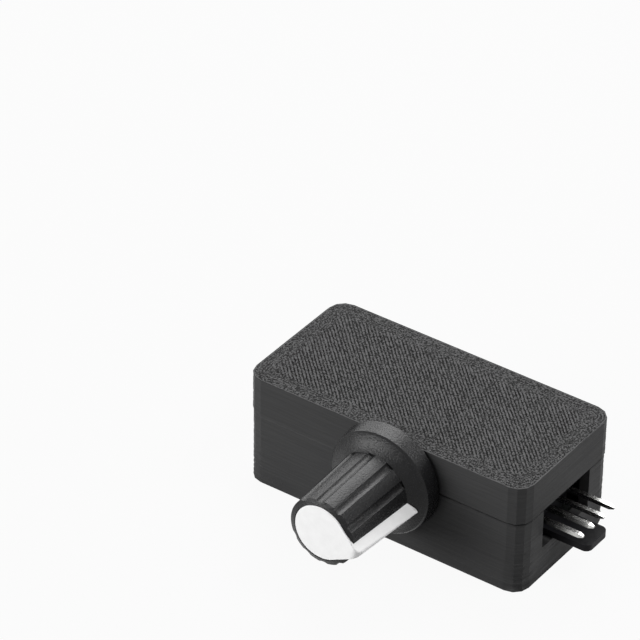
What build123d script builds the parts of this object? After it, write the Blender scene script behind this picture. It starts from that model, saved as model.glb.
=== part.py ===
from build123d import *
from math import acos, atan2, cos, degrees, radians, sin, sqrt
import os

# Fan speed controller in a small printed box, all sizes in millimetres.
# X runs along the box to the fan header, the knob is on the -Y side and Z is up.
# The origin is in the middle of the underside.

# Printed case
case_length = 45.0
case_width = 22.0
wall = 1.6
floor_thickness = 1.6
roof_thickness = 1.2
corner_radius = 2.5
corner_flats = 3
inner_corner = 1.0
lid_overhang = 0.1
lip_clearance = 0.15
lip_thickness = 0.9
lip_depth = 1.5
lip_root = 1.0
edge_break = 0.3
window_clearance = 0.2

# Circuit board
board_stand = 1.7
board_thickness = 1.6
board_gap = 0.4
post_radius = 1.5
peg_radius = 0.75
peg_clearance = 0.15
peg_below_top = 0.3
hold_down_radius = 1.2
lead_below_board = 1.2
lead_clearance = 0.2

# Rotary control, its axis lies on the seam of the case
control_x = 1.6
axis_above_board = 6.5
control_width = 9.7
control_half_height = 4.5
control_depth = 6.6
sheet = 0.3
front_plate = 1.2
bushing_radius = 3.5
bushing_past_nut = 0.1
chamber_radius = 4.0
chamber_depth = 3.3
track_thickness = 0.6
track_edge = 0.1
terminal_pitch = 2.5
terminal_width = 0.8
shaft_radius = 3.0
shaft_clearance = 0.05
shaft_reach = 13.4
shaft_flange_radius = 3.7
shaft_flange = 0.7
shaft_play = 0.1
spigot_radius = 1.5
spline_count = 18
spline_depth = 0.25
spline_length = 7.0
shaft_slot = 1.0
rotor_radius = 2.6
rotor_thickness = 0.9
stop_radius = 3.7
stop_half_angle = 17.0
travel_from = -50.0
travel_to = 230.0
travel_spare = 1.0
wiper_sheet = 0.2
wiper_contact_radius = 0.35
wiper_track_radius = 3.1
washer_radius = 5.5
washer_thickness = 0.5
nut_across_flats = 10.0
nut_thickness = 1.7
thread_clearance = 0.1

# Knob
knob_lift = 0.3
skirt_back_radius = 8.0
skirt_rim_radius = 7.8
skirt_height = 2.6
skirt_edge = 0.2
cone_height = 1.35
cone_hollow = 0.12
body_foot_radius = 5.5
body_tip_radius = 5.04
knob_reach = 16.25
flutes_a_side = 4
flute_turn = 32.0
flute_radius = 0.95
flute_depth = 0.28
recess_radius = 6.1
recess_clearance = 0.3
bore_clearance = 0.05
tip_land = 0.1
tip_drop = 0.35
pointer_angle = -12.5
pointer_cap_radius = 4.12
pointer_cap_thickness = 1.5
pointer_proud = 0.05
pointer_tip_apex = 6.0
pointer_tip_round = 0.8
pointer_foot_apex = 6.87
pointer_foot_round = 0.06
pointer_corner = 1.0
pointer_root_radius = 4.2
pointer_fit = 0.03
pointer_edge = 0.1

# Fan header
pin_count = 4
pin_pitch = 2.54
pin_size = 0.64
pin_height = 3.2
pin_reach = 5.1
pin_point = 0.7
pin_point_size = 0.3
pin_bend = 0.6
pin_leg_back = 1.5
pin_fit = 0.02
header_setback = 3.1
header_depth = 3.2
header_height = 5.8
tab_lift = 0.15
tab_thickness = 1.0
tab_width = 5.0
tab_shift = -0.6
tab_reach = 5.55
tab_corner = 1.0
notch_half_width = 5.63

# Power jack
jack_width = 9.0
jack_height_over_axis = 4.5
jack_length = 14.2
jack_flange = 3.3
jack_body_half_width = 4.1
jack_corner = 0.5
jack_bore_radius = 3.2
jack_bore_depth = 9.6
jack_pin_radius = 1.05
jack_pin_setback = 1.2
jack_pin_root_radius = 0.7
jack_strip_width = 2.4
jack_strip = 0.4
jack_spring_start = 3.8
jack_spring_length = 6.4
jack_spring_rise = 0.15

# Parts soldered to the board
chip_length = 4.9
chip_width = 3.9
chip_height = 1.45
chip_lift = 0.15
chip_lead_pitch = 1.27
chip_lead_width = 0.42
chip_lead_sheet = 0.2
chip_lead_span = 6.0
chip_foot = 0.7
can_radius = 2.5
can_height = 5.4
can_foot = 1.0
can_foot_width = 5.3
can_neck = 0.25
resistor_length = 2.0
resistor_width = 1.25
resistor_height = 0.55
resistor_pitch = 3.2
ceramic_height = 0.9
ceramic_pitch = 2.1
diode_length = 2.7
diode_width = 1.6
diode_height = 1.1
diode_pitch = 4.6
rectifier_length = 4.3
rectifier_width = 2.6
rectifier_height = 2.2
transistor_length = 2.9
transistor_width = 1.3
transistor_height = 1.0
part_gap = 1.2

# Sizes that follow from those above
board_bottom = floor_thickness + board_stand
board_top = board_bottom + board_thickness
axis_height = board_top + axis_above_board
tallest_over_axis = max(control_half_height, jack_height_over_axis)
roof_height = axis_height + tallest_over_axis + edge_break
case_height = roof_height + roof_thickness
inner_length = case_length - 2 * wall
inner_width = case_width - 2 * wall
board_length = inner_length - 2 * board_gap
board_width = inner_width - 2 * board_gap
lip_length = inner_length - 2 * lip_clearance
lip_width = inner_width - 2 * lip_clearance
lip_reach = lip_clearance + lip_thickness
lip_inner_length = inner_length - 2 * lip_reach
lip_inner_width = inner_width - 2 * lip_reach
post_x = board_length / 2 - post_radius - board_gap
post_y = board_width / 2 - post_radius - board_gap
lead_end = board_bottom - lead_below_board
panel_y = -case_width / 2
body_width = control_width - 2 * sheet
terminal_row = 2 * terminal_pitch + 2 * terminal_width
terminal_top = axis_height - chamber_radius + sheet
chamber_end = front_plate + chamber_depth
shaft_flange_end = front_plate + shaft_play + shaft_flange
rotor_end = shaft_flange_end + rotor_thickness
track_start = chamber_end - track_thickness
header_face = case_length / 2 - header_setback
header_back = header_face - header_depth
header_width = pin_count * pin_pitch
pin_z = board_top + pin_height
pin_leg_x = header_back - pin_leg_back
pin_hole_radius = pin_size / sqrt(2) + lead_clearance / 2
notch_sill = board_top
jack_front = -case_length / 2
jack_back = jack_front + jack_length
jack_strip_top = axis_height + jack_strip_width / 2
control_right = control_x + control_width / 2
control_back = panel_y + wall + control_depth
control_middle = control_back - control_depth / 2
bushing_length = wall + washer_thickness + nut_thickness + bushing_past_nut
recess_out = bushing_length - wall + recess_clearance
rim_out = knob_lift + skirt_height
cone_out = rim_out + cone_height
tip_face_radius = pointer_cap_radius + pointer_fit + tip_land
flute_out = body_foot_radius + flute_radius - flute_depth
hold_down_y = board_width / 2 - lip_reach - hold_down_radius
can_x = pin_leg_x - pin_size / 2 - 2 * hold_down_radius - part_gap - can_foot_width / 2
can_y = board_width / 2 - can_foot_width / 2 - part_gap
hold_down_right = can_x + can_foot_width / 2 + hold_down_radius + part_gap / 2
chip_x = can_x - can_foot_width / 2 - part_gap - chip_length / 2
chip_y = control_back + part_gap + resistor_width + part_gap + chip_lead_span / 2
diode_y = -board_width / 2 + part_gap / 2 + diode_width / 2
rectifier_x = jack_back - rectifier_length
rectifier_y = board_width / 2 - part_gap / 2 - rectifier_width / 2
hold_down_left = (rectifier_x + rectifier_length / 2 + chip_x - chip_length / 2) / 2


# Plane parallel to the front panel, with its origin on the control's axis
def panel_plane(out, turn=0.0):
    across = (cos(radians(turn)), 0, sin(radians(turn)))
    return Plane(origin=(control_x, panel_y - out, axis_height), x_dir=across, z_dir=(0, -1, 0))


# Plane through the control's axis, local x is the radius and local y runs out of the panel
def axial_plane(turn=0.0):
    across = (cos(radians(turn)), 0, sin(radians(turn)))
    normal = (sin(radians(turn)), 0, -cos(radians(turn)))
    return Plane(origin=(control_x, panel_y, axis_height), x_dir=across, z_dir=normal)


# Plane parallel to the front panel at a depth behind the inner face of the front wall
def depth_plane(depth, turn=0.0):
    return panel_plane(-wall - depth, turn)


control_axis = Axis((control_x, panel_y, axis_height), (0, -1, 0))


# Corners of the case's outline, where each round corner is printed as a few flats
def case_outline(length, width, corner):
    points = []
    for quarter in range(4):
        side_x = -1 if quarter in (1, 2) else 1
        side_y = -1 if quarter in (2, 3) else 1
        for step in range(corner_flats + 1):
            bearing = radians(90 * (quarter + step / corner_flats))
            x = side_x * (length / 2 - corner) + corner * cos(bearing)
            y = side_y * (width / 2 - corner) + corner * sin(bearing)
            points.append((x, y))
    return points


# Lower half of the case: floor, walls, posts with pegs for the board and the three openings
base_length = case_length - 2 * lid_overhang
base_width = case_width - 2 * lid_overhang
with BuildPart() as case_base:
    with BuildSketch():
        Polygon(*case_outline(base_length, base_width, corner_radius - lid_overhang), align=None)
    extrude(amount=axis_height)
    with BuildSketch(Plane.XY.offset(floor_thickness)):
        RectangleRounded(inner_length, inner_width, inner_corner)
    extrude(amount=axis_height - floor_thickness, mode=Mode.SUBTRACT)
    rim = case_base.faces().sort_by(Axis.Z)[-1]
    chamfer(rim.inner_wires()[0].edges(), length=edge_break)
    with BuildSketch(Plane.XY.offset(floor_thickness)):
        with GridLocations(2 * post_x, 2 * post_y, 2, 2):
            Circle(post_radius)
    extrude(amount=board_stand)
    with BuildSketch(Plane.XY.offset(board_bottom)):
        with GridLocations(2 * post_x, 2 * post_y, 2, 2):
            Circle(peg_radius)
    extrude(amount=board_thickness - peg_below_top)
    with BuildSketch(Plane.YZ.offset(inner_length / 2 - edge_break)):
        with Locations((0, notch_sill)):
            Rectangle(2 * notch_half_width, axis_height, align=(Align.CENTER, Align.MIN))
    extrude(amount=wall + 2 * edge_break, mode=Mode.SUBTRACT)
    with BuildSketch(Plane.YZ.offset(-inner_length / 2 + edge_break)):
        with Locations((0, board_top - window_clearance)):
            Rectangle(jack_width + 2 * window_clearance, axis_height, align=(Align.CENTER, Align.MIN))
    extrude(amount=-wall - 2 * edge_break, mode=Mode.SUBTRACT)
    with BuildSketch(panel_plane(edge_break)):
        Circle(bushing_radius + window_clearance)
    extrude(amount=-wall - 2 * edge_break, mode=Mode.SUBTRACT)
case_base.part.label = "case_base"

# Upper half of the case: roof, walls, a lip that locates inside the base and two hold-down posts
with BuildPart() as case_lid:
    with BuildSketch(Plane.XY.offset(axis_height)):
        Polygon(*case_outline(case_length, case_width, corner_radius), align=None)
    extrude(amount=case_height - axis_height)
    with BuildSketch(Plane.XY.offset(axis_height)):
        RectangleRounded(inner_length, inner_width, inner_corner)
    extrude(amount=roof_height - axis_height, mode=Mode.SUBTRACT)
    with BuildSketch(Plane.XY.offset(axis_height)):
        RectangleRounded(inner_length, inner_width, inner_corner)
        RectangleRounded(lip_inner_length, lip_inner_width, inner_corner, mode=Mode.SUBTRACT)
    extrude(amount=lip_root)
    with BuildSketch(Plane.XY.offset(axis_height)):
        RectangleRounded(lip_length, lip_width, inner_corner)
        RectangleRounded(lip_inner_length, lip_inner_width, inner_corner, mode=Mode.SUBTRACT)
    extrude(amount=-lip_depth)
    with BuildSketch(Plane.XY.offset(axis_height - lip_depth)):
        with Locations((control_x, -inner_width / 2)):
            Rectangle(control_width + 2 * board_gap, control_depth, align=(Align.CENTER, Align.MIN))
        with Locations((inner_length / 2, 0)):
            Rectangle(header_setback + header_depth, 2 * notch_half_width, align=(Align.MAX, Align.CENTER))
        with Locations((-inner_length / 2, 0)):
            Rectangle(jack_length, jack_width + 2 * board_gap, align=(Align.MIN, Align.CENTER))
    extrude(amount=lip_depth + lip_root, mode=Mode.SUBTRACT)
    with BuildSketch(Plane.YZ.offset(-inner_length / 2 + edge_break)):
        with Locations((0, axis_height + jack_height_over_axis + window_clearance)):
            Rectangle(jack_width + 2 * window_clearance, axis_height, align=(Align.CENTER, Align.MAX))
    extrude(amount=-wall - 2 * edge_break, mode=Mode.SUBTRACT)
    with BuildSketch(panel_plane(edge_break)):
        Circle(bushing_radius + window_clearance)
    extrude(amount=-wall - 2 * edge_break, mode=Mode.SUBTRACT)
    with BuildSketch(Plane.XY.offset(board_top)):
        with Locations((hold_down_left, hold_down_y), (hold_down_right, hold_down_y)):
            Circle(hold_down_radius)
    extrude(amount=roof_height - board_top)
case_lid.part.label = "case_lid"

# Circuit board with holes for the pegs, the control, the fan header and the power jack
with BuildPart() as circuit_board:
    with BuildSketch(Plane.XY.offset(board_bottom)):
        Rectangle(board_length, board_width)
        with GridLocations(2 * post_x, 2 * post_y, 2, 2):
            Circle(peg_radius + peg_clearance, mode=Mode.SUBTRACT)
        with Locations((control_x, panel_y + wall + chamber_end + sheet / 2)):
            with GridLocations(terminal_pitch, 0, 3, 1):
                Rectangle(terminal_width + lead_clearance, sheet + lead_clearance, mode=Mode.SUBTRACT)
        with Locations((control_x, control_middle)):
            with GridLocations(control_width - sheet, 0, 2, 1):
                Rectangle(sheet + lead_clearance, 2 * terminal_width + lead_clearance, mode=Mode.SUBTRACT)
        with Locations((pin_leg_x, 0)):
            with GridLocations(0, pin_pitch, 1, pin_count):
                Circle(pin_hole_radius, mode=Mode.SUBTRACT)
        with Locations((jack_front + jack_spring_start + jack_spring_length, 0), (jack_back, 0)):
            Rectangle(
                2 * jack_strip + lead_clearance, jack_strip_width + lead_clearance, mode=Mode.SUBTRACT
            )
    extrude(amount=board_thickness)
circuit_board.part.label = "circuit_board"

# Die-cast front plate of the control with its threaded bushing through the case wall
with BuildPart() as control_bushing:
    with BuildSketch(depth_plane(front_plate)):
        Rectangle(body_width, 2 * control_half_height)
    extrude(amount=front_plate)
    with BuildSketch(depth_plane(0)):
        Circle(bushing_radius)
    extrude(amount=bushing_length)
    bushing_rim = control_bushing.faces().sort_by(Axis.Y)[0].outer_wire().edges()
    chamfer(bushing_rim, length=edge_break)
    with BuildSketch(depth_plane(front_plate)):
        Circle(shaft_radius + shaft_clearance)
    extrude(amount=front_plate + bushing_length, mode=Mode.SUBTRACT)
control_bushing.part.label = "control_bushing"

# Moulded body of the control with a round chamber and the stop that limits the travel
stop_gap_middle = (travel_from + travel_to) / 2 + 180
stop_gap_half = (360 - travel_to + travel_from) / 2
stop_lug_half = stop_gap_half - stop_half_angle - travel_spare
with BuildPart() as control_housing:
    with BuildSketch(depth_plane(control_depth - sheet)):
        with Locations((0, control_half_height)):
            Rectangle(body_width, control_half_height + axis_above_board, align=(Align.CENTER, Align.MAX))
    extrude(amount=control_depth - sheet - front_plate)
    with BuildSketch(depth_plane(chamber_end)):
        Circle(chamber_radius)
    extrude(amount=chamber_depth, mode=Mode.SUBTRACT)
    with BuildSketch(depth_plane(rotor_end, stop_gap_middle)):
        with BuildLine():
            inner_arc = CenterArc((0, 0), rotor_radius + 2 * shaft_play, -stop_lug_half, 2 * stop_lug_half)
            outer_arc = CenterArc((0, 0), chamber_radius + shaft_play, -stop_lug_half, 2 * stop_lug_half)
            Line(inner_arc @ 0, outer_arc @ 0)
            Line(inner_arc @ 1, outer_arc @ 1)
        make_face()
    extrude(amount=rotor_thickness - shaft_play)
    with BuildSketch(depth_plane(chamber_end)):
        with Locations((0, -chamber_radius + 2 * sheet)):
            Rectangle(terminal_row, axis_above_board, align=(Align.CENTER, Align.MAX))
    extrude(amount=-sheet - shaft_play, mode=Mode.SUBTRACT)
control_housing.part.label = "control_housing"

# Sheet steel saddle that clamps the control together and stands on the board with two lugs
with BuildPart() as control_saddle:
    with BuildSketch(Plane.XY.offset(axis_height - control_half_height)):
        with Locations((control_x, control_back)):
            Rectangle(control_width, control_depth - sheet, align=(Align.CENTER, Align.MAX))
            Rectangle(body_width, 2 * (control_depth - sheet), mode=Mode.SUBTRACT)
        with Locations((control_x, control_back)):
            Rectangle(control_width, sheet, align=(Align.CENTER, Align.MAX))
    extrude(amount=2 * control_half_height)
    with BuildSketch(Plane.XY.offset(axis_height - control_half_height)):
        with Locations((control_x, control_middle)):
            with GridLocations(control_width - sheet, 0, 2, 1):
                Rectangle(sheet, 2 * terminal_width)
    extrude(amount=lead_end - axis_height + control_half_height)
control_saddle.part.label = "control_saddle"

# Resistive track wafer at the back of the chamber
with BuildPart() as control_track:
    with BuildSketch(depth_plane(chamber_end)):
        Circle(chamber_radius - track_edge)
    extrude(amount=track_thickness)
control_track.part.label = "control_track"

# Three terminals from the track down through the board
with BuildPart() as control_terminals:
    with BuildSketch(depth_plane(chamber_end + sheet)):
        with Locations((0, -chamber_radius + sheet)):
            with GridLocations(terminal_pitch, 0, 3, 1):
                Rectangle(terminal_width, terminal_top - lead_end, align=(Align.CENTER, Align.MAX))
    extrude(amount=sheet)
control_terminals.part.label = "control_terminals"

# Shaft with retaining flange, splined and slotted end
with BuildPart() as control_shaft:
    with BuildSketch(depth_plane(shaft_flange_end)):
        Circle(shaft_flange_radius)
    extrude(amount=shaft_flange)
    with BuildSketch(depth_plane(shaft_flange_end)):
        Circle(spigot_radius)
    extrude(amount=-rotor_thickness)
    with BuildSketch(depth_plane(shaft_flange_end)):
        Circle(shaft_radius)
    extrude(amount=shaft_flange_end + wall + shaft_reach)
    shaft_rim = control_shaft.faces().sort_by(Axis.Y)[0].outer_wire().edges()
    chamfer(shaft_rim, length=edge_break)
    with BuildSketch(panel_plane(shaft_reach - spline_length, pointer_angle)):
        with PolarLocations(shaft_radius, spline_count):
            Rectangle(2 * spline_depth, spline_depth, rotation=45)
    extrude(amount=spline_length, mode=Mode.SUBTRACT)
    with BuildSketch(panel_plane(shaft_reach - spline_length, pointer_angle)):
        Rectangle(2 * shaft_flange_radius, shaft_slot)
    extrude(amount=spline_length, mode=Mode.SUBTRACT)
control_shaft.part.label = "control_shaft"

# Moulded rotor on the shaft's spigot, with the tab that meets the stop
with BuildPart() as control_rotor:
    with BuildSketch(depth_plane(rotor_end, pointer_angle)):
        Circle(rotor_radius)
        with BuildLine():
            tab_arc = CenterArc((0, 0), stop_radius, -stop_half_angle, 2 * stop_half_angle)
            Line((0, 0), tab_arc @ 0)
            Line((0, 0), tab_arc @ 1)
        make_face()
        Circle(spigot_radius, mode=Mode.SUBTRACT)
    extrude(amount=rotor_thickness)
control_rotor.part.label = "control_rotor"

# Spring metal wiper on the rotor with one contact that rides just over the track
with BuildPart() as control_wiper:
    with BuildSketch(depth_plane(rotor_end + wiper_sheet, pointer_angle)):
        Circle(rotor_radius - wiper_sheet)
        with Locations((wiper_track_radius / 2, 0)):
            SlotOverall(wiper_track_radius + 2 * wiper_contact_radius, 3 * wiper_contact_radius)
    extrude(amount=wiper_sheet)
    with BuildSketch(depth_plane(rotor_end + wiper_sheet, pointer_angle)):
        with Locations((wiper_track_radius, 0)):
            Circle(wiper_contact_radius)
    extrude(amount=-(track_start - rotor_end - wiper_sheet - shaft_clearance))
control_wiper.part.label = "control_wiper"

# Washer and hexagon nut on the bushing, under the skirt of the knob
with BuildPart() as control_washer:
    with BuildSketch(panel_plane(0)):
        Circle(washer_radius)
        Circle(bushing_radius + thread_clearance, mode=Mode.SUBTRACT)
    extrude(amount=washer_thickness)
control_washer.part.label = "control_washer"

with BuildPart() as control_nut:
    with BuildSketch(panel_plane(washer_thickness)):
        RegularPolygon(nut_across_flats / 2, 6, major_radius=False)
        Circle(bushing_radius + thread_clearance, mode=Mode.SUBTRACT)
    extrude(amount=nut_thickness)
control_nut.part.label = "control_nut"


# Tear-shaped outline: a round cap with two tangents to a small rounded apex
def tear_outline(out, cap_radius, apex, apex_radius):
    apex_centre = apex - apex_radius
    lean = degrees(acos((cap_radius - apex_radius) / apex_centre))
    with BuildSketch(panel_plane(out, pointer_angle)) as outline:
        with BuildLine():
            cap_arc = CenterArc((0, 0), cap_radius, lean, 360 - 2 * lean)
            apex_arc = CenterArc((apex_centre, 0), apex_radius, -lean, 2 * lean)
            Line(cap_arc @ 1, apex_arc @ 0)
            Line(apex_arc @ 1, cap_arc @ 0)
        make_face()
    return outline.sketch


# Solid of the pointer insert: a tear-shaped cap and a fin along the side of the knob
shoulder_slope = cone_height / (skirt_rim_radius - body_foot_radius)
fin_foot = cone_out - shoulder_slope * (pointer_foot_apex - body_foot_radius)
pointer_tip = knob_reach + pointer_proud


def pointer_solid(fit):
    tip_apex = pointer_tip_apex + fit
    cap_floor = knob_reach - pointer_cap_thickness - fit
    root = pointer_root_radius - fit
    outside = skirt_back_radius
    turn_out = pointer_corner * (1 - sin(radians(45)))
    cap_radius = pointer_cap_radius + fit
    foot_apex = pointer_foot_apex + fit
    foot_outline = tear_outline(fin_foot - fit, cap_radius, foot_apex, pointer_foot_round + fit)
    tip_outline = tear_outline(pointer_tip, cap_radius, tip_apex, pointer_tip_round + fit)
    with BuildPart() as insert:
        loft(sections=[foot_outline, tip_outline])
        with BuildSketch(axial_plane(pointer_angle)):
            with BuildLine():
                Polyline(
                    (tip_apex - pointer_corner, pointer_tip),
                    (-outside, pointer_tip),
                    (-outside, cap_floor),
                    (root, cap_floor),
                    (root, fin_foot - fit),
                    (outside, fin_foot - fit),
                    (outside, pointer_tip - pointer_corner),
                    (tip_apex, pointer_tip - pointer_corner),
                )
                ThreePointArc(
                    (tip_apex, pointer_tip - pointer_corner),
                    (tip_apex - turn_out, pointer_tip - turn_out),
                    (tip_apex - pointer_corner, pointer_tip),
                )
            make_face()
        extrude(amount=outside, both=True, mode=Mode.INTERSECT)
    return insert.part


pointer_pocket = pointer_solid(pointer_fit)

# Plane across one flute at the foot of the knob's body, leaning in with the body's taper
body_lean = atan2(body_foot_radius - body_tip_radius, knob_reach - tip_drop - cone_out)


def flute_plane(bearing):
    out_x = cos(radians(bearing))
    out_z = sin(radians(bearing))
    centre = (control_x + flute_out * out_x, panel_y - cone_out, axis_height + flute_out * out_z)
    along = (-sin(body_lean) * out_x, -cos(body_lean), -sin(body_lean) * out_z)
    return Plane(origin=centre, x_dir=(-out_z, 0, out_x), z_dir=along)


# Knob: hollow skirt, dished shoulder, fluted body, bore for the shaft and pocket for the pointer
with BuildPart() as knob_body:
    with BuildSketch(axial_plane()) as knob_section:
        with BuildLine():
            shoulder_middle = (skirt_rim_radius + body_foot_radius) / 2 - cone_hollow
            Polyline(
                (body_foot_radius, cone_out),
                (body_tip_radius, knob_reach - tip_drop),
                (tip_face_radius, knob_reach),
                (0, knob_reach),
                (0, recess_out),
                (recess_radius, recess_out),
                (recess_radius, knob_lift),
                (skirt_back_radius, knob_lift),
                (skirt_rim_radius, rim_out),
            )
            ThreePointArc(
                (skirt_rim_radius, rim_out),
                (shoulder_middle, (rim_out + cone_out) / 2 - cone_hollow),
                (body_foot_radius, cone_out),
            )
        make_face()
        chamfer(knob_section.vertices().group_by(Axis.X)[-2], length=skirt_edge)
    revolve(axis=control_axis)
    for side in (90, -90):
        for step in range(flutes_a_side):
            bearing = pointer_angle + side + (step - (flutes_a_side - 1) / 2) * flute_turn
            with BuildSketch(flute_plane(bearing)):
                Circle(flute_radius)
            extrude(amount=knob_reach, mode=Mode.SUBTRACT)
    with BuildSketch(panel_plane(recess_out)):
        Circle(shaft_radius + bore_clearance)
    extrude(amount=shaft_reach + recess_clearance - recess_out, mode=Mode.SUBTRACT)
    add(pointer_pocket, mode=Mode.SUBTRACT)
knob_body.part.label = "knob_body"

# White pointer insert pressed into the knob
with BuildPart() as knob_pointer:
    add(pointer_solid(0))
    cap_edges = knob_pointer.faces().sort_by(Axis.Y)[0].outer_wire().edges()
    chamfer(cap_edges, length=pointer_edge)
knob_pointer.part.label = "knob_pointer"

# Insulator of the fan header with its polarising tab
header_tip = case_length / 2 + tab_reach
with BuildPart() as header_housing:
    with BuildSketch(Plane.YZ.offset(header_back)):
        with Locations((0, board_top)):
            Rectangle(header_width, header_height, align=(Align.CENTER, Align.MIN))
        with Locations((0, pin_z)):
            with GridLocations(pin_pitch, 0, pin_count, 1):
                Rectangle(pin_size + 2 * pin_fit, pin_size + 2 * pin_fit, mode=Mode.SUBTRACT)
    extrude(amount=header_depth)
    with BuildSketch(Plane.XY.offset(board_top + tab_lift)):
        with BuildLine():
            tab_left = tab_shift - tab_width / 2
            tab_right = tab_shift + tab_width / 2
            FilletPolyline(
                (header_face, tab_left),
                (header_tip, tab_left),
                (header_tip, tab_right),
                (header_face, tab_right),
                radius=tab_corner,
            )
            Line((header_face, tab_right), (header_face, tab_left))
        make_face()
    extrude(amount=tab_thickness)
header_housing.part.label = "fan_header_housing"

# One header pin, bent down behind the insulator, with a pointed end
pin_tip = case_length / 2 + pin_reach
with BuildPart() as one_pin:
    with BuildLine() as pin_path:
        FilletPolyline(
            (pin_tip - pin_point, 0, pin_z),
            (pin_leg_x, 0, pin_z),
            (pin_leg_x, 0, lead_end),
            radius=pin_bend,
        )
    with BuildSketch(Plane(origin=(pin_tip - pin_point, 0, pin_z), x_dir=(0, 1, 0), z_dir=(-1, 0, 0))):
        Rectangle(pin_size, pin_size)
    sweep(path=pin_path.line)
    with BuildSketch(Plane.YZ.offset(pin_tip - pin_point)):
        with Locations((0, pin_z)):
            Rectangle(pin_size, pin_size)
    with BuildSketch(Plane.YZ.offset(pin_tip)):
        with Locations((0, pin_z)):
            Rectangle(pin_point_size, pin_point_size)
    loft()

# The row of header pins
with BuildPart() as header_pins:
    with GridLocations(0, pin_pitch, 1, pin_count):
        add(one_pin.part)
header_pins.part.label = "fan_header_pins"

# Moulded housing of the power jack, flush with the end of the case
spring_z = axis_height - jack_bore_radius + jack_spring_rise
spring_from = jack_front + jack_spring_start
spring_to = spring_from + jack_spring_length
with BuildPart() as jack_housing:
    with BuildSketch(Plane.YZ.offset(jack_front)):
        with Locations((0, axis_height + jack_height_over_axis)):
            Rectangle(jack_width, jack_height_over_axis + axis_above_board, align=(Align.CENTER, Align.MAX))
    extrude(amount=jack_flange)
    fillet(jack_housing.edges().filter_by(Axis.X).group_by(Axis.Z)[-1], radius=jack_corner)
    with BuildSketch(Plane.YZ.offset(jack_front)):
        with Locations((0, axis_height)):
            Circle(jack_body_half_width)
            Rectangle(2 * jack_body_half_width, axis_above_board, align=(Align.CENTER, Align.MAX))
    extrude(amount=jack_length - jack_strip)
    with BuildSketch(Plane.YZ.offset(jack_front)):
        with Locations((0, axis_height)):
            Circle(jack_bore_radius)
    extrude(amount=jack_bore_depth, mode=Mode.SUBTRACT)
    mouth = jack_housing.faces().sort_by(Axis.X)[0].inner_wires()[0].edges()
    chamfer(mouth, length=edge_break)
    with BuildSketch(Plane.YZ.offset(jack_front)):
        with Locations((0, axis_height)):
            Circle(jack_pin_root_radius)
    extrude(amount=jack_length, mode=Mode.SUBTRACT)
    with BuildSketch(Plane.XY.offset(board_top)):
        with Locations((spring_from - jack_strip, 0)):
            Rectangle(
                jack_spring_length + 2 * jack_strip,
                jack_strip_width + 2 * lead_clearance,
                align=(Align.MIN, Align.CENTER),
            )
    extrude(amount=axis_above_board - jack_pin_radius, mode=Mode.SUBTRACT)
jack_housing.part.label = "power_jack_housing"

# Centre pin of the jack, riveted through the back, with its terminal strip
with BuildPart() as jack_pin:
    with BuildSketch(Plane.YZ.offset(jack_front + jack_bore_depth)):
        with Locations((0, axis_height)):
            Circle(jack_pin_radius)
    extrude(amount=jack_pin_setback - jack_bore_depth)
    chamfer(jack_pin.faces().sort_by(Axis.X)[0].edges(), length=jack_pin_radius / 2)
    with BuildSketch(Plane.YZ.offset(jack_front + jack_bore_depth)):
        with Locations((0, axis_height)):
            Circle(jack_pin_root_radius)
    extrude(amount=jack_length - jack_bore_depth)
    with BuildSketch(Plane.YZ.offset(jack_back - jack_strip)):
        with Locations((0, jack_strip_top)):
            Rectangle(jack_strip_width, jack_strip_top - lead_end, align=(Align.CENTER, Align.MAX))
    extrude(amount=jack_strip)
jack_pin.part.label = "power_jack_centre_pin"

# Spring contact under the bore of the jack, with its leg through the board
with BuildPart() as jack_spring:
    with BuildSketch(Plane.XZ.offset(-jack_strip_width / 2)):
        with BuildLine():
            Polyline(
                (spring_from, spring_z - jack_strip),
                (spring_from, spring_z),
                (spring_to, spring_z),
                (spring_to, lead_end),
                (spring_to - jack_strip, lead_end),
                (spring_to - jack_strip, spring_z - jack_strip),
                close=True,
            )
        make_face()
    extrude(amount=jack_strip_width)
jack_spring.part.label = "power_jack_spring_contact"

# Timer chip and its eight leads
with BuildPart() as timer_chip:
    with BuildSketch(Plane.XY.offset(board_top + chip_lift)):
        with Locations((chip_x, chip_y)):
            Rectangle(chip_length, chip_width)
    extrude(amount=chip_height)
    chamfer(timer_chip.faces().sort_by(Axis.Z)[-1].edges(), length=chip_lift)
timer_chip.part.label = "timer_chip"

with BuildPart() as one_lead:
    with BuildSketch(Plane.YZ.offset(-chip_lead_width / 2)):
        with BuildLine():
            lead_high = board_top + chip_lift + chip_height / 2
            lead_out = chip_lead_span / 2
            lead_knee = lead_out - chip_foot
            Polyline(
                (chip_width / 2, lead_high),
                (chip_width / 2, lead_high - chip_lead_sheet),
                (lead_knee - chip_lead_sheet, lead_high - chip_lead_sheet),
                (lead_knee - chip_lead_sheet, board_top),
                (lead_out, board_top),
                (lead_out, board_top + chip_lead_sheet),
                (lead_knee, board_top + chip_lead_sheet),
                (lead_knee, lead_high),
                close=True,
            )
        make_face()
    extrude(amount=chip_lead_width)

with BuildPart() as chip_leads:
    with Locations((chip_x, chip_y, 0)):
        with GridLocations(chip_lead_pitch, 0, 4, 1):
            add(one_lead.part)
    mirror(about=Plane.XZ.offset(-chip_y))
chip_leads.part.label = "timer_chip_leads"

# Filter capacitor: aluminium can on a moulded foot
with BuildPart() as can_foot_plate:
    with BuildSketch(Plane.XY.offset(board_top)):
        with Locations((can_x, can_y)):
            Rectangle(can_foot_width, can_foot_width)
    extrude(amount=can_foot)
    chamfer(can_foot_plate.edges().filter_by(Axis.Z).group_by(Axis.X)[-1], length=part_gap / 2)
can_foot_plate.part.label = "filter_capacitor_foot"

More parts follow.
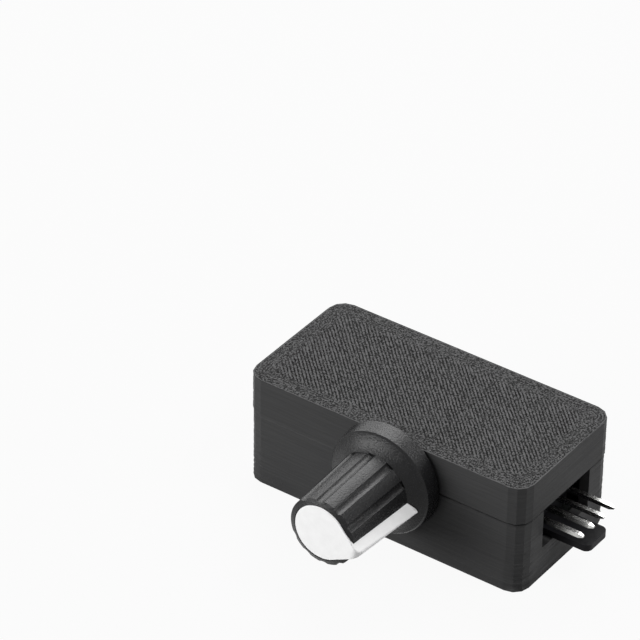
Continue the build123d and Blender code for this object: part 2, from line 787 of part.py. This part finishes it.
with BuildPart() as filter_can:
    with BuildSketch(Plane.XZ.offset(-can_y)):
        with BuildLine():
            can_low = board_top + can_foot
            can_high = board_top + can_height
            Polyline(
                (can_x, can_low),
                (can_x + can_radius, can_low),
                (can_x + can_radius, can_low + can_neck),
                (can_x + can_radius - can_neck, can_low + 2 * can_neck),
                (can_x + can_radius, can_low + 3 * can_neck),
                (can_x + can_radius, can_high),
                (can_x, can_high),
                close=True,
            )
        make_face()
    revolve(axis=Axis((can_x, can_y, 0), (0, 0, 1)))
    chamfer(filter_can.faces().sort_by(Axis.Z)[-1].edges(), length=can_neck)
filter_can.part.label = "filter_capacitor_can"

# Row of chip resistors behind the control
with BuildPart() as chip_resistors:
    with BuildSketch(Plane.XY.offset(board_top)):
        with Locations((control_x, control_back + part_gap + resistor_width / 2)):
            with GridLocations(resistor_pitch, 0, 4, 1):
                Rectangle(resistor_length, resistor_width)
    extrude(amount=resistor_height)
chip_resistors.part.label = "chip_resistors"

# Ceramic chip capacitors beside the control
with BuildPart() as chip_capacitors:
    with BuildSketch(Plane.XY.offset(board_top)):
        with Locations((control_right + part_gap + resistor_length / 2, control_middle)):
            with GridLocations(0, ceramic_pitch, 1, 3):
                Rectangle(resistor_length, resistor_width)
    extrude(amount=ceramic_height)
chip_capacitors.part.label = "chip_capacitors"

# Two signal diodes by the front edge of the board, beside the power jack
with BuildPart() as signal_diodes:
    with BuildSketch(Plane.XY.offset(board_top)):
        with Locations((jack_back - diode_length, diode_y)):
            with GridLocations(diode_pitch, 0, 2, 1):
                Rectangle(diode_length, diode_width)
    extrude(amount=diode_height)
    chamfer(signal_diodes.faces().group_by(Axis.Z)[-1].edges(), length=chip_lift)
signal_diodes.part.label = "signal_diodes"

# Protection diode by the back edge of the board, beside the power jack
with BuildPart() as protection_diode:
    with BuildSketch(Plane.XY.offset(board_top)):
        with Locations((rectifier_x, rectifier_y)):
            Rectangle(rectifier_length, rectifier_width)
    extrude(amount=rectifier_height)
    chamfer(protection_diode.faces().sort_by(Axis.Z)[-1].edges(), length=chip_lift)
protection_diode.part.label = "protection_diode"

# Output transistor between the control and the fan header
with BuildPart() as output_transistor:
    with BuildSketch(Plane.XY.offset(board_top)):
        with Locations((pin_leg_x - pin_size - part_gap, control_back)):
            Rectangle(transistor_width, transistor_length, align=(Align.MAX, Align.MIN))
    extrude(amount=transistor_height)
    chamfer(output_transistor.faces().sort_by(Axis.Z)[-1].edges(), length=chip_lift)
output_transistor.part.label = "output_transistor"

# One file for each piece
pieces = [
    case_base,
    case_lid,
    circuit_board,
    control_bushing,
    control_housing,
    control_saddle,
    control_track,
    control_terminals,
    control_shaft,
    control_rotor,
    control_wiper,
    control_washer,
    control_nut,
    knob_body,
    knob_pointer,
    header_housing,
    header_pins,
    jack_housing,
    jack_pin,
    jack_spring,
    timer_chip,
    chip_leads,
    can_foot_plate,
    filter_can,
    chip_resistors,
    chip_capacitors,
    signal_diodes,
    protection_diode,
    output_transistor,
]
os.makedirs("parts", exist_ok=True)
for piece in pieces:
    export_step(piece.part, "parts/" + piece.part.label + ".step")
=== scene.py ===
from math import copysign, cos, exp, floor, pi, radians, sin

import bmesh
import bpy
from mathutils import Matrix, Quaternion, Vector, noise


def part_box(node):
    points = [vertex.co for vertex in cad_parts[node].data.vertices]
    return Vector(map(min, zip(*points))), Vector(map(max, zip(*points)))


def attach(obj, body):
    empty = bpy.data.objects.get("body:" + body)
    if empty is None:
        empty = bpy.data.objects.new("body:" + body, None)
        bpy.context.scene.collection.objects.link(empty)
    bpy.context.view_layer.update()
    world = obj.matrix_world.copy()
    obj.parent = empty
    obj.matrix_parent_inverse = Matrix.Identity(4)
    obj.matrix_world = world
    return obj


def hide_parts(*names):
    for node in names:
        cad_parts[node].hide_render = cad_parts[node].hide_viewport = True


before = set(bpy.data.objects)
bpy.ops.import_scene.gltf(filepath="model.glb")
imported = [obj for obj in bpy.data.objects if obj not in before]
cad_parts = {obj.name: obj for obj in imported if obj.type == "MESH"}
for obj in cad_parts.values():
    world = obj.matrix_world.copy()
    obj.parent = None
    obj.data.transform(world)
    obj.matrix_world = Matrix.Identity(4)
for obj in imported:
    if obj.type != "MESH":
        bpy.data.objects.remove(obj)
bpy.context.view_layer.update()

# Lower half of the case, printed in black plastic from the floor up, with each corner in three flats.
# Its outer wall is a stack of thin layers, so fine grooves run round it, uneven from one to the next.
# The last layers are drawn in, which leaves a narrow seam under the lid, more open towards the pins.
mm = 0.001
layer_height = 0.2 * mm
groove_depth = 0.016 * mm
layer_wander = 0.08 * mm
wander_length = 9 * mm
wander_share = 1.5
layer_change = 0.37
foot_wander = 2.5 * mm
foot_share = 4
drawn_in_seed = Vector((0, 0, 50))
corner_ripple = 1.8
wall_cut_step = 1.5 * mm
seam_rows = 4
seam_edge = 0.1 * mm
seam_depth = 0.5 * mm
seam_fall = 0.35 * mm
seam_opening = 8 * mm
seam_reach = 0.1 * mm
streaks_along = 150
streaks_up = 6000
corner_flats = 3
base_corner = 2.4 * mm
touch = 0.01 * mm
slant = 0.1
upright_share = 0.9
crease = radians(60)
flat_crease = radians(10)
printed_dark = (0.039, 0.039, 0.0395, 1.0)
printed_light = (0.046, 0.046, 0.0465, 1.0)
printed_shine = 0.06
printed_smooth = 0.42
printed_rough = 0.58
printed_grains = 7000
printed_grain_height = 0.008 * mm
noise_low = 0.3
noise_high = 0.7


def object_noise(tree, per_metre, detail, stretch=(1, 1, 1)):
    place = tree.nodes.new("ShaderNodeTexCoord")
    turn = tree.nodes.new("ShaderNodeMapping")
    turn.inputs["Scale"].default_value = stretch
    tree.links.new(place.outputs["Object"], turn.inputs["Vector"])
    grain = tree.nodes.new("ShaderNodeTexNoise")
    grain.inputs["Scale"].default_value = per_metre
    grain.inputs["Detail"].default_value = detail
    tree.links.new(turn.outputs["Vector"], grain.inputs["Vector"])
    return grain.outputs["Fac"]


def between(tree, value, low, high):
    span = tree.nodes.new("ShaderNodeMapRange")
    span.inputs["From Min"].default_value = noise_low
    span.inputs["From Max"].default_value = noise_high
    span.inputs["To Min"].default_value = low
    span.inputs["To Max"].default_value = high
    tree.links.new(value, span.inputs["Value"])
    return span.outputs["Result"]


def shade_between(tree, value, dark, light):
    ramp = tree.nodes.new("ShaderNodeValToRGB")
    ramp.color_ramp.elements[0].position = noise_low
    ramp.color_ramp.elements[0].color = dark
    ramp.color_ramp.elements[1].position = noise_high
    ramp.color_ramp.elements[1].color = light
    tree.links.new(value, ramp.inputs["Fac"])
    return ramp.outputs["Color"]


def raise_grain(tree, shader, value, height):
    bump = tree.nodes.new("ShaderNodeBump")
    bump.inputs["Distance"].default_value = height
    tree.links.new(value, bump.inputs["Height"])
    tree.links.new(bump.outputs["Normal"], shader.inputs["Normal"])


def start_finish(name):
    finish = bpy.data.materials.new(name)
    finish.use_nodes = True
    return finish, finish.node_tree, finish.node_tree.nodes["Principled BSDF"]


def printed_finish(name):
    finish, tree, shader = start_finish(name)
    shader.inputs["Specular IOR Level"].default_value = printed_shine
    streaks = object_noise(tree, streaks_along, 1, (1, 1, streaks_up / streaks_along))
    tree.links.new(shade_between(tree, streaks, printed_dark, printed_light), shader.inputs["Base Color"])
    fine = object_noise(tree, printed_grains, 2)
    tree.links.new(between(tree, fine, printed_smooth, printed_rough), shader.inputs["Roughness"])
    raise_grain(tree, shader, fine, printed_grain_height)
    return finish


def out_of_wall(point, half_x, half_y, corner):
    flat = radians(90) / corner_flats
    walls = [(0.0, corner), (radians(90), corner)]
    flats = [(flat * (step + 0.5), corner * cos(flat / 2)) for step in range(corner_flats)]
    best = None
    for bearing, reach in walls + flats:
        out = Vector((cos(bearing), sin(bearing), 0))
        gap = out.x * (abs(point.x) - half_x + corner) + out.y * (abs(point.y) - half_y + corner) - reach
        if best is None or gap > best[0]:
            best = gap, Vector((copysign(out.x, point.x), copysign(out.y, point.y), 0))
    return best


def print_layers(shell, low, high, half_x, half_y, corner):
    def on_wall(vert):
        return abs(out_of_wall(vert.co, half_x, half_y, corner)[0]) < touch

    wall = [face for face in shell.faces if abs(face.normal.z) < slant and all(map(on_wall, face.verts))]
    parts = set(wall)
    for face in wall:
        parts.update(face.edges)
        parts.update(face.verts)
    half_layer = layer_height / 2
    cuts = []
    for step in range(1, round((high - low) / half_layer)):
        cuts.append((Vector((0, 0, low + step * half_layer)), Vector((0, 0, 1))))
    for axis, half in ((Vector((1, 0, 0)), half_x), (Vector((0, 1, 0)), half_y)):
        count = floor((half - corner) / wall_cut_step)
        cuts += [(axis * step * wall_cut_step, axis) for step in range(-count, count + 1)]
    parts = list(parts)
    for place, normal in cuts:
        parts = bmesh.ops.bisect_plane(shell, geom=parts, plane_co=place, plane_no=normal)["geom"]
    for vert in [part for part in parts if isinstance(part, bmesh.types.BMVert)]:
        if low + touch < vert.co.z < high - touch:
            step = round((vert.co.z - low) / half_layer)
            layer = Vector((vert.co.x / wander_length, vert.co.y / wander_length, layer_change * (step // 2)))
            wander = 1 + wander_share * noise.noise(layer) + foot_share * exp(-vert.co.z / foot_wander)
            out = out_of_wall(vert.co, half_x, half_y, corner)[1]
            if min(abs(out.x), abs(out.y)) > slant:
                wander *= corner_ripple
            drawn_in = noise.noise(layer + drawn_in_seed) ** 2
            inset = groove_depth if step % 2 == 0 else layer_wander * drawn_in
            vert.co -= out * max(0, inset * wander)


def finish_printed(shell, name, node, *finishes):
    for face in shell.faces:
        face.smooth = True
    for edge in shell.edges:
        turn = edge.calc_face_angle(pi)
        rise = abs(edge.verts[0].co.z - edge.verts[1].co.z)
        upright = rise > upright_share * edge.calc_length()
        edge.smooth = turn < (flat_crease if upright else crease)
    mesh = bpy.data.meshes.new(name)
    shell.to_mesh(mesh)
    shell.free()
    piece = bpy.data.objects.new(name, mesh)
    bpy.context.scene.collection.objects.link(piece)
    for finish in finishes:
        mesh.materials.append(finish)
    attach(piece, "housing")
    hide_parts(node)


base_low, base_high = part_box("case_base")
base_shell = bmesh.new()
base_shell.from_mesh(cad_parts["case_base"].data)
bmesh.ops.remove_doubles(base_shell, verts=base_shell.verts, dist=touch / 10)
print_layers(base_shell, base_low.z, base_high.z, base_high.x, base_high.y, base_corner)
for vert in base_shell.verts:
    gap, out = out_of_wall(vert.co, base_high.x, base_high.y, base_corner)
    below = round((base_high.z - vert.co.z) / (layer_height / 2))
    if below < seam_rows and gap > -seam_reach:
        opened = min(max(vert.co.x / seam_opening, 0), 1) if below < seam_rows - 1 else 0
        vert.co -= out * (seam_edge + opened * (seam_depth - seam_edge))
        if below == seam_rows - 2:
            vert.co.z -= opened * seam_fall
finish_printed(base_shell, "printed_base", "case_base", printed_finish("printed_base_plastic"))

# Circuit board of glass-fibre laminate, pressed over four pegs of the base.
# Its solder mask is coloured near black, painted shade for the dark inside seen through the notch; it is
# glossy and a little uneven.
moulded_clouds = 900
moulded_grain = 0.01 * mm


def moulded_finish(name, dark, light, smooth, rough, grain_height, shine=0.25, grains=6000):
    finish, tree, shader = start_finish(name)
    shader.inputs["Specular IOR Level"].default_value = shine
    cloud = object_noise(tree, moulded_clouds, 2)
    tree.links.new(shade_between(tree, cloud, dark, light), shader.inputs["Base Color"])
    fine = object_noise(tree, grains, 3)
    tree.links.new(between(tree, fine, smooth, rough), shader.inputs["Roughness"])
    raise_grain(tree, shader, fine, grain_height)
    return finish


def dress(finish, *nodes):
    for node in nodes:
        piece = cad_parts[node]
        piece.data.materials.clear()
        piece.data.materials.append(finish)


# Near-black mask colour: painted shade for the inside of the case.
dress(
    moulded_finish(
        "board_mask_painted_shade", (0.006, 0.007, 0.006, 1), (0.01, 0.012, 0.011, 1), 0.25, 0.4, moulded_grain
    ),
    "circuit_board",
)

# Rotary control: a die-cast bushing plate, a moulded body and a steel saddle that clamps them.
# Inside it a turned shaft carries a moulded rotor and a spring wiper over a carbon track.
# A washer and a hexagon nut hold its bushing in the front wall.
metal_clouds = 1500
metal_grains = 8000
metal_grain_height = 0.004 * mm


def metal_finish(name, dark, light, smooth, rough):
    finish, tree, shader = start_finish(name)
    shader.inputs["Metallic"].default_value = 1.0
    cloud = object_noise(tree, metal_clouds, 3)
    tree.links.new(shade_between(tree, cloud, dark, light), shader.inputs["Base Color"])
    fine = object_noise(tree, metal_grains, 2)
    tree.links.new(between(tree, fine, smooth, rough), shader.inputs["Roughness"])
    raise_grain(tree, shader, fine, metal_grain_height)
    return finish


dress(
    metal_finish("zinc_casting", (0.42, 0.42, 0.44, 1), (0.55, 0.55, 0.57, 1), 0.3, 0.5),
    "control_bushing",
)
dress(
    moulded_finish(
        "control_moulding", (0.02, 0.02, 0.022, 1), (0.03, 0.03, 0.032, 1), 0.4, 0.55, moulded_grain
    ),
    "control_housing",
    "control_rotor",
)
dress(
    metal_finish("plated_steel", (0.5, 0.5, 0.5, 1), (0.65, 0.65, 0.64, 1), 0.22, 0.4),
    "control_saddle",
    "control_washer",
    "control_nut",
)
dress(
    moulded_finish("carbon_track", (0.02, 0.02, 0.02, 1), (0.16, 0.1, 0.05, 1), 0.5, 0.7, moulded_grain),
    "control_track",
)
dress(
    metal_finish("turned_shaft", (0.5, 0.5, 0.5, 1), (0.62, 0.62, 0.62, 1), 0.25, 0.4),
    "control_shaft",
)
dress(
    metal_finish("spring_bronze", (0.6, 0.42, 0.2, 1), (0.72, 0.52, 0.28, 1), 0.25, 0.4),
    "control_wiper",
)
tinned_metal = metal_finish("tinned_metal", (0.42, 0.42, 0.41, 1), (0.6, 0.6, 0.58, 1), 0.12, 0.28)
dress(tinned_metal, "control_terminals")

# Fan header: four square tinned pins in a black insulator, soldered to the board.
# The flat tab under the pins keys the fan's plug.
dress(
    moulded_finish(
        "header_moulding", (0.006, 0.006, 0.007, 1), (0.01, 0.01, 0.011, 1), 0.35, 0.5,
        moulded_grain, shine=0.08,
    ),
    "fan_header_housing",
)
dress(tinned_metal, "fan_header_pins")

# Power jack: a black moulded socket flush with the end wall, with a plated centre pin.
# A flat spring under the bore is the second contact.
dress(
    moulded_finish(
        "jack_moulding", (0.015, 0.015, 0.016, 1), (0.026, 0.026, 0.027, 1), 0.3, 0.45, moulded_grain
    ),
    "power_jack_housing",
)
dress(
    metal_finish("nickel_plate", (0.62, 0.6, 0.55, 1), (0.75, 0.73, 0.68, 1), 0.15, 0.3),
    "power_jack_centre_pin",
    "power_jack_spring_contact",
)

# Parts soldered to the board: the timer chip, diodes and transistor in black epoxy,
# ceramic resistors and capacitors, and an aluminium can capacitor on a moulded foot.
epoxy = moulded_finish(
    "chip_epoxy", (0.012, 0.012, 0.013, 1), (0.024, 0.024, 0.025, 1), 0.5, 0.65, moulded_grain
)
dress(epoxy, "timer_chip", "signal_diodes", "protection_diode", "output_transistor", "filter_capacitor_foot")
dress(tinned_metal, "timer_chip_leads")
dress(
    metal_finish("can_aluminium", (0.7, 0.71, 0.72, 1), (0.82, 0.83, 0.84, 1), 0.2, 0.35),
    "filter_capacitor_can",
)
dress(
    moulded_finish(
        "resistor_glaze", (0.01, 0.01, 0.012, 1), (0.02, 0.02, 0.024, 1), 0.2, 0.35, moulded_grain
    ),
    "chip_resistors",
)
dress(
    moulded_finish(
        "capacitor_ceramic", (0.3, 0.2, 0.1, 1), (0.42, 0.29, 0.16, 1), 0.4, 0.6, moulded_grain
    ),
    "chip_capacitors",
)

# Upper half of the case, printed like the base and set on it by a lip.
# Its last layer shows each strand of plastic: five loops follow the edge, and the middle is filled with
# strands laid side by side at 45 degrees, rough where the nozzle dragged and flatter where they turn back.
# The strands' colour follows their height: painted shade in the valleys and painted highlight on the crests.
lid_corner = 2.5 * mm
strand_pitch = 0.46 * mm
strand_rise = 0.1 * mm
loop_rise = 0.03 * mm
strand_step = 0.17 * mm
strand_facets = 4
loop_count = 5
loop_start = 0.3
lump_length = 1.5 * mm
lump_share = 0.4
lump_change = 5.17
drag_rise = 0.065 * mm
drag_length = 0.3 * mm
drag_width = 0.2 * mm
drag_seed = 9
skin_drop = 0.16 * mm
skin_thickness = 0.35 * mm
shell_drop = 1.5 * skin_drop
top_facing = 0.3
# Strand colours: near black is painted shade for the valleys, pale is painted highlight for the crests.
strand_painted_shade = (0.003, 0.003, 0.003, 1.0)
strand_painted_highlight = (0.082, 0.082, 0.083, 1.0)
strand_shine = 0.04
strand_smooth = 0.5
strand_rough = 0.7
strand_grains = 5000
strand_grain_height = 0.02 * mm
speckle = 0.35
relief_shade_middle = 0.44
relief_shade_gain = 0.8
relief_shade_level = 0.6
fill_overlap = 0.1 * mm
rim_drop = 0.06 * mm
rim_painted_highlight = 0.5
rim_rings = 2
sway = 0.06 * mm
fill_sway_length = 3 * mm
loop_sway_length = 1.2 * mm
turn_back = 1.2 * mm
lid_low, lid_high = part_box("case_lid")
loop_band = loop_count * strand_pitch


def raise_strand(vert, relief_shade, across, along, crown_rise):
    crown = 1 - (2 * (across - floor(across)) - 1) ** 2
    lump = noise.noise(Vector((along / lump_length, lump_change * floor(across), 0)))
    drag = noise.noise(Vector((along / drag_length, across * strand_pitch / drag_width, drag_seed)))
    rise = crown_rise * crown * (1 + lump_share * lump) + drag_rise * drag
    vert.co.z = lid_high.z + min(rise - skin_drop, 0)
    # Colour value from the strand's height: low valleys get painted shade, high crests get painted highlight.
    vert[relief_shade] = relief_shade_middle + relief_shade_gain * (rise - relief_shade_level * crown_rise) / skin_drop


def close_below(skin):
    rim = [edge for edge in skin.edges if edge.is_boundary]
    grown = bmesh.ops.extrude_edge_only(skin, edges=rim)["geom"]
    feet = {part for part in grown if isinstance(part, bmesh.types.BMVert)}
    for vert in feet:
        vert.co.z = lid_high.z - skin_thickness
    under = [edge for edge in skin.edges if edge.verts[0] in feet and edge.verts[1] in feet]
    return under


def fill_strands():
    reach = (lid_high.x + lid_high.y - 2 * loop_band) / 2 ** 0.5 + strand_pitch
    fill = bmesh.new()
    relief_shade = fill.verts.layers.float.new("relief_shade")
    strands = 2 * floor(reach / strand_pitch)
    half = strands * strand_pitch / 2
    steps = round(2 * half / strand_step)
    bmesh.ops.create_grid(fill, x_segments=steps, y_segments=strands * strand_facets, size=half)
    diagonal = Matrix.Rotation(-pi / 4, 3, "Z")
    for vert in fill.verts:
        place = diagonal @ vert.co
        inside = min(lid_high.x - abs(place.x), lid_high.y - abs(place.y)) - loop_band
        full = min(max(inside / turn_back, 0), 1)
        rise = loop_rise + full * (strand_rise - loop_rise)
        raise_strand(vert, relief_shade, vert.co.y / strand_pitch, vert.co.x, rise)
        vert.co.y += sway * noise.noise(Vector((vert.co.x, vert.co.y, 0)) / fill_sway_length)
    bmesh.ops.rotate(fill, verts=fill.verts, cent=(0, 0, 0), matrix=diagonal)
    inner_x = Vector((lid_high.x - loop_band + fill_overlap, 0, 0))
    inner_y = Vector((0, lid_high.y - loop_band + fill_overlap, 0))
    for place in (inner_x, -inner_x, inner_y, -inner_y):
        parts = fill.verts[:] + fill.edges[:] + fill.faces[:]
        bmesh.ops.bisect_plane(fill, geom=parts, plane_co=place, plane_no=place, clear_outer=True)
    bmesh.ops.edgeloop_fill(fill, edges=close_below(fill))
    bmesh.ops.recalc_face_normals(fill, faces=fill.faces[:])
    return fill


def edge_spine(share):
    run_x = 2 * (lid_high.x - lid_corner)
    run_y = 2 * (lid_high.y - lid_corner)
    turn = lid_corner * pi / 2
    flat = radians(90) / corner_flats
    left = share * (2 * run_x + 2 * run_y + 4 * turn)
    middle = Vector((-run_x / 2, -run_y / 2, 0))
    for side in range(4):
        facing = (side - 1) * pi / 2
        along = Vector((-sin(facing), cos(facing), 0))
        run = run_y if side % 2 else run_x
        if left < run:
            return middle + along * left, Vector((cos(facing), sin(facing), 0))
        left -= run
        middle = middle + along * run
        if left < turn:
            bearing = left / lid_corner
            off_flat = bearing % flat - flat / 2
            out = Vector((cos(facing + bearing), sin(facing + bearing), 0))
            return middle, out * cos(flat / 2) / cos(off_flat)
        left -= turn
    return middle, Vector((0, -1, 0))


def edge_loops():
    band = bmesh.new()
    share = band.verts.layers.float.new("share")
    relief_shade = band.verts.layers.float.new("relief_shade")
    around = 4 * (lid_high.x + lid_high.y)
    ring = bmesh.ops.create_circle(band, segments=round(around / strand_step), radius=1)["verts"]
    for step, vert in enumerate(ring):
        vert[share] = step / len(ring)
    edges = band.edges[:]
    rings = loop_count * strand_facets
    for step in range(rings + 1):
        across = step / strand_facets
        for vert in ring:
            middle, out = edge_spine(vert[share])
            vert.co = middle + out * (lid_corner - across * strand_pitch)
            raise_strand(vert, relief_shade, loop_start + across, vert[share] * around, loop_rise)
            drift = sway * noise.noise(Vector((vert.co.x, vert.co.y, 0)) / loop_sway_length)
            vert.co += out * (drift if step else -abs(drift))
            # The two outermost rings get a lighter colour, a painted highlight along the lid's top edge; the
            # outermost is also lowered a little.
            if step < rim_rings:
                vert[relief_shade] += rim_painted_highlight
                vert.co.z -= rim_drop * (1 - step)
        if step < rings:
            grown = bmesh.ops.extrude_edge_only(band, edges=edges)["geom"]
            ring = [part for part in grown if isinstance(part, bmesh.types.BMVert)]
            fresh = set(ring)
            edges = [
                part
                for part in grown
                if isinstance(part, bmesh.types.BMEdge) and fresh.issuperset(part.verts)
            ]
    bmesh.ops.bridge_loops(band, edges=close_below(band))
    bmesh.ops.recalc_face_normals(band, faces=band.faces[:])
    return band


def strand_finish():
    finish, tree, shader = start_finish("printed_strands_relief_shaded")
    shader.inputs["Specular IOR Level"].default_value = strand_shine
    relief_shade = tree.nodes.new("ShaderNodeAttribute")
    relief_shade.attribute_name = "relief_shade"
    fine = object_noise(tree, strand_grains, 2)
    speckled = tree.nodes.new("ShaderNodeMath")
    tree.links.new(relief_shade.outputs["Fac"], speckled.inputs[0])
    tree.links.new(between(tree, fine, -speckle, speckle), speckled.inputs[1])
    # Base colour: painted shade in the valleys and painted highlight on the crests, with random speckle.
    relief_shaded = shade_between(tree, speckled.outputs["Value"], strand_painted_shade, strand_painted_highlight)
    tree.links.new(relief_shaded, shader.inputs["Base Color"])
    tree.links.new(between(tree, fine, strand_smooth, strand_rough), shader.inputs["Roughness"])
    raise_grain(tree, shader, fine, strand_grain_height)
    return finish


lid_shell = bmesh.new()
lid_shell.from_mesh(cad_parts["case_lid"].data)
lid_shell.verts.layers.float.new("relief_shade")
bmesh.ops.remove_doubles(lid_shell, verts=lid_shell.verts, dist=touch / 10)
print_layers(lid_shell, base_high.z, lid_high.z, lid_high.x, lid_high.y, lid_corner)
for vert in lid_shell.verts:
    if vert.co.z > lid_high.z - touch:
        vert.co.z -= shell_drop
for skin in (fill_strands(), edge_loops()):
    for face in skin.faces:
        # Upward faces take the strand colour with its painted shade and highlight; the sides take the printed
        # finish.
        face.material_index = 1 if face.normal.z > top_facing else 0
    skin_mesh = bpy.data.meshes.new("skin")
    skin.to_mesh(skin_mesh)
    skin.free()
    lid_shell.from_mesh(skin_mesh)
    bpy.data.meshes.remove(skin_mesh)
finish_printed(lid_shell, "printed_lid", "case_lid", printed_finish("printed_lid_plastic"), strand_finish())

# Knob moulded in black plastic with a finely grained skin, pressed on the splined end of the shaft.
# Four flutes run along each side of it, and the back is left smooth.
knob_grain = 0.065 * mm
dress(
    moulded_finish(
        "knob_moulding", (0.008, 0.008, 0.0085, 1), (0.011, 0.011, 0.0115, 1), 0.2, 0.3,
        knob_grain, shine=0.18, grains=4500,
    ),
    "knob_body",
)

# White pointer, moulded in one piece with the cap and pressed into the knob.
# The cap closes the knob's end, and the fin runs down one side of it to show the setting.
pointer_grain = 0.004 * mm
dress(
    moulded_finish(
        "pointer_moulding", (0.82, 0.82, 0.82, 1), (0.86, 0.86, 0.86, 1), 0.32, 0.45,
        pointer_grain, shine=0.3,
    ),
    "knob_pointer",
)

# Studio: a white floor that keeps a faint shadow, a high soft light behind and a low one in front on
# the left, with four weak ones: low behind on the left, higher in front, and low and high on the right.
floor_half = 3.0
floor_grey = (0.25, 0.25, 0.25, 1)
floor_white_share = 0.94
lamp_distance = 0.6
floor_mesh = bpy.data.meshes.new("studio_floor")
floor_plan = bmesh.new()
bmesh.ops.create_grid(floor_plan, x_segments=1, y_segments=1, size=floor_half)
floor_plan.to_mesh(floor_mesh)
floor_plan.free()
studio_floor = bpy.data.objects.new("studio_floor", floor_mesh)
bpy.context.scene.collection.objects.link(studio_floor)


def seen_directly(tree):
    light_path = tree.nodes.new("ShaderNodeLightPath")
    glossy = tree.nodes.new("ShaderNodeMath")
    glossy.operation = "MAXIMUM"
    tree.links.new(light_path.outputs["Is Camera Ray"], glossy.inputs[0])
    tree.links.new(light_path.outputs["Is Glossy Ray"], glossy.inputs[1])
    clear = tree.nodes.new("ShaderNodeMath")
    clear.operation = "MAXIMUM"
    tree.links.new(glossy.outputs["Value"], clear.inputs[0])
    tree.links.new(light_path.outputs["Is Transmission Ray"], clear.inputs[1])
    return clear.outputs["Value"]


def floor_finish():
    finish, tree, shader = start_finish("studio_white")
    shader.inputs["Base Color"].default_value = floor_grey
    shader.inputs["Roughness"].default_value = 1.0
    shader.inputs["Specular IOR Level"].default_value = 0.0
    white = tree.nodes.new("ShaderNodeEmission")
    share = tree.nodes.new("ShaderNodeMath")
    share.operation = "MULTIPLY"
    share.inputs[1].default_value = floor_white_share
    tree.links.new(seen_directly(tree), share.inputs[0])
    blend = tree.nodes.new("ShaderNodeMixShader")
    tree.links.new(share.outputs["Value"], blend.inputs["Fac"])
    tree.links.new(shader.outputs["BSDF"], blend.inputs[1])
    tree.links.new(white.outputs["Emission"], blend.inputs[2])
    tree.links.new(blend.outputs["Shader"], tree.nodes["Material Output"].inputs["Surface"])
    return finish


floor_mesh.materials.append(floor_finish())

world = bpy.data.worlds.new("studio_air")
world.use_nodes = True
bpy.context.scene.world = world
sky = world.node_tree.nodes["Background"]
sky.inputs["Color"].default_value = (1, 1, 1, 1)
sky_light = 0.16
level = world.node_tree.nodes.new("ShaderNodeMapRange")
level.inputs["To Min"].default_value = sky_light
level.inputs["To Max"].default_value = 1.0
world.node_tree.links.new(seen_directly(world.node_tree), level.inputs["Value"])
world.node_tree.links.new(level.outputs["Result"], sky.inputs["Strength"])


def soft_light(name, bearing, height, wide, tall, power):
    lamp = bpy.data.lights.new(name, "AREA")
    lamp.shape = "RECTANGLE"
    lamp.size = wide
    lamp.size_y = tall
    lamp.energy = power
    out = Vector((cos(radians(height)), 0, sin(radians(height))))
    out.rotate(Matrix.Rotation(radians(bearing), 3, "Z"))
    light = bpy.data.objects.new(name, lamp)
    light.location = lamp_distance * out
    light.rotation_euler = out.to_track_quat("Z", "Y").to_euler()
    bpy.context.scene.collection.objects.link(light)


soft_light("back_light", 118, 50, 0.44, 0.44, 4.5)
soft_light("low_back_light", 140, 14, 0.22, 0.22, 0.28)
soft_light("front_light", 231, 14, 0.42, 0.24, 3.0)
soft_light("high_front_light", 248, 30, 0.3, 0.3, 0.75)
soft_light("side_light", 38, 5, 0.2, 0.1, 0.75)
soft_light("high_side_light", 20, 58, 0.2, 0.2, 1.9)

# Camera on a long lens, above the front right corner as in the photograph, with a slight roll.
camera_azimuth = radians(34.97)
camera_elevation = radians(35.13)
camera_roll = radians(0.87)
camera_distance = 0.5884
camera_lens = 244.18
camera_sensor = 36.0
camera_aim = Vector((-0.01763, -0.00062, 0.02234))
camera = bpy.data.objects.new("camera", bpy.data.cameras.new("camera"))
camera.data.lens = camera_lens
camera.data.sensor_width = camera_sensor
back = Vector((
    sin(camera_azimuth) * cos(camera_elevation),
    -cos(camera_azimuth) * cos(camera_elevation),
    sin(camera_elevation),
))
camera.location = camera_aim + back * camera_distance
camera.rotation_mode = "QUATERNION"
camera.rotation_quaternion = back.to_track_quat("Z", "Y") @ Quaternion((0, 0, 1), camera_roll)
bpy.context.scene.collection.objects.link(camera)
bpy.context.scene.camera = camera
bpy.context.scene.view_settings.view_transform = "Standard"
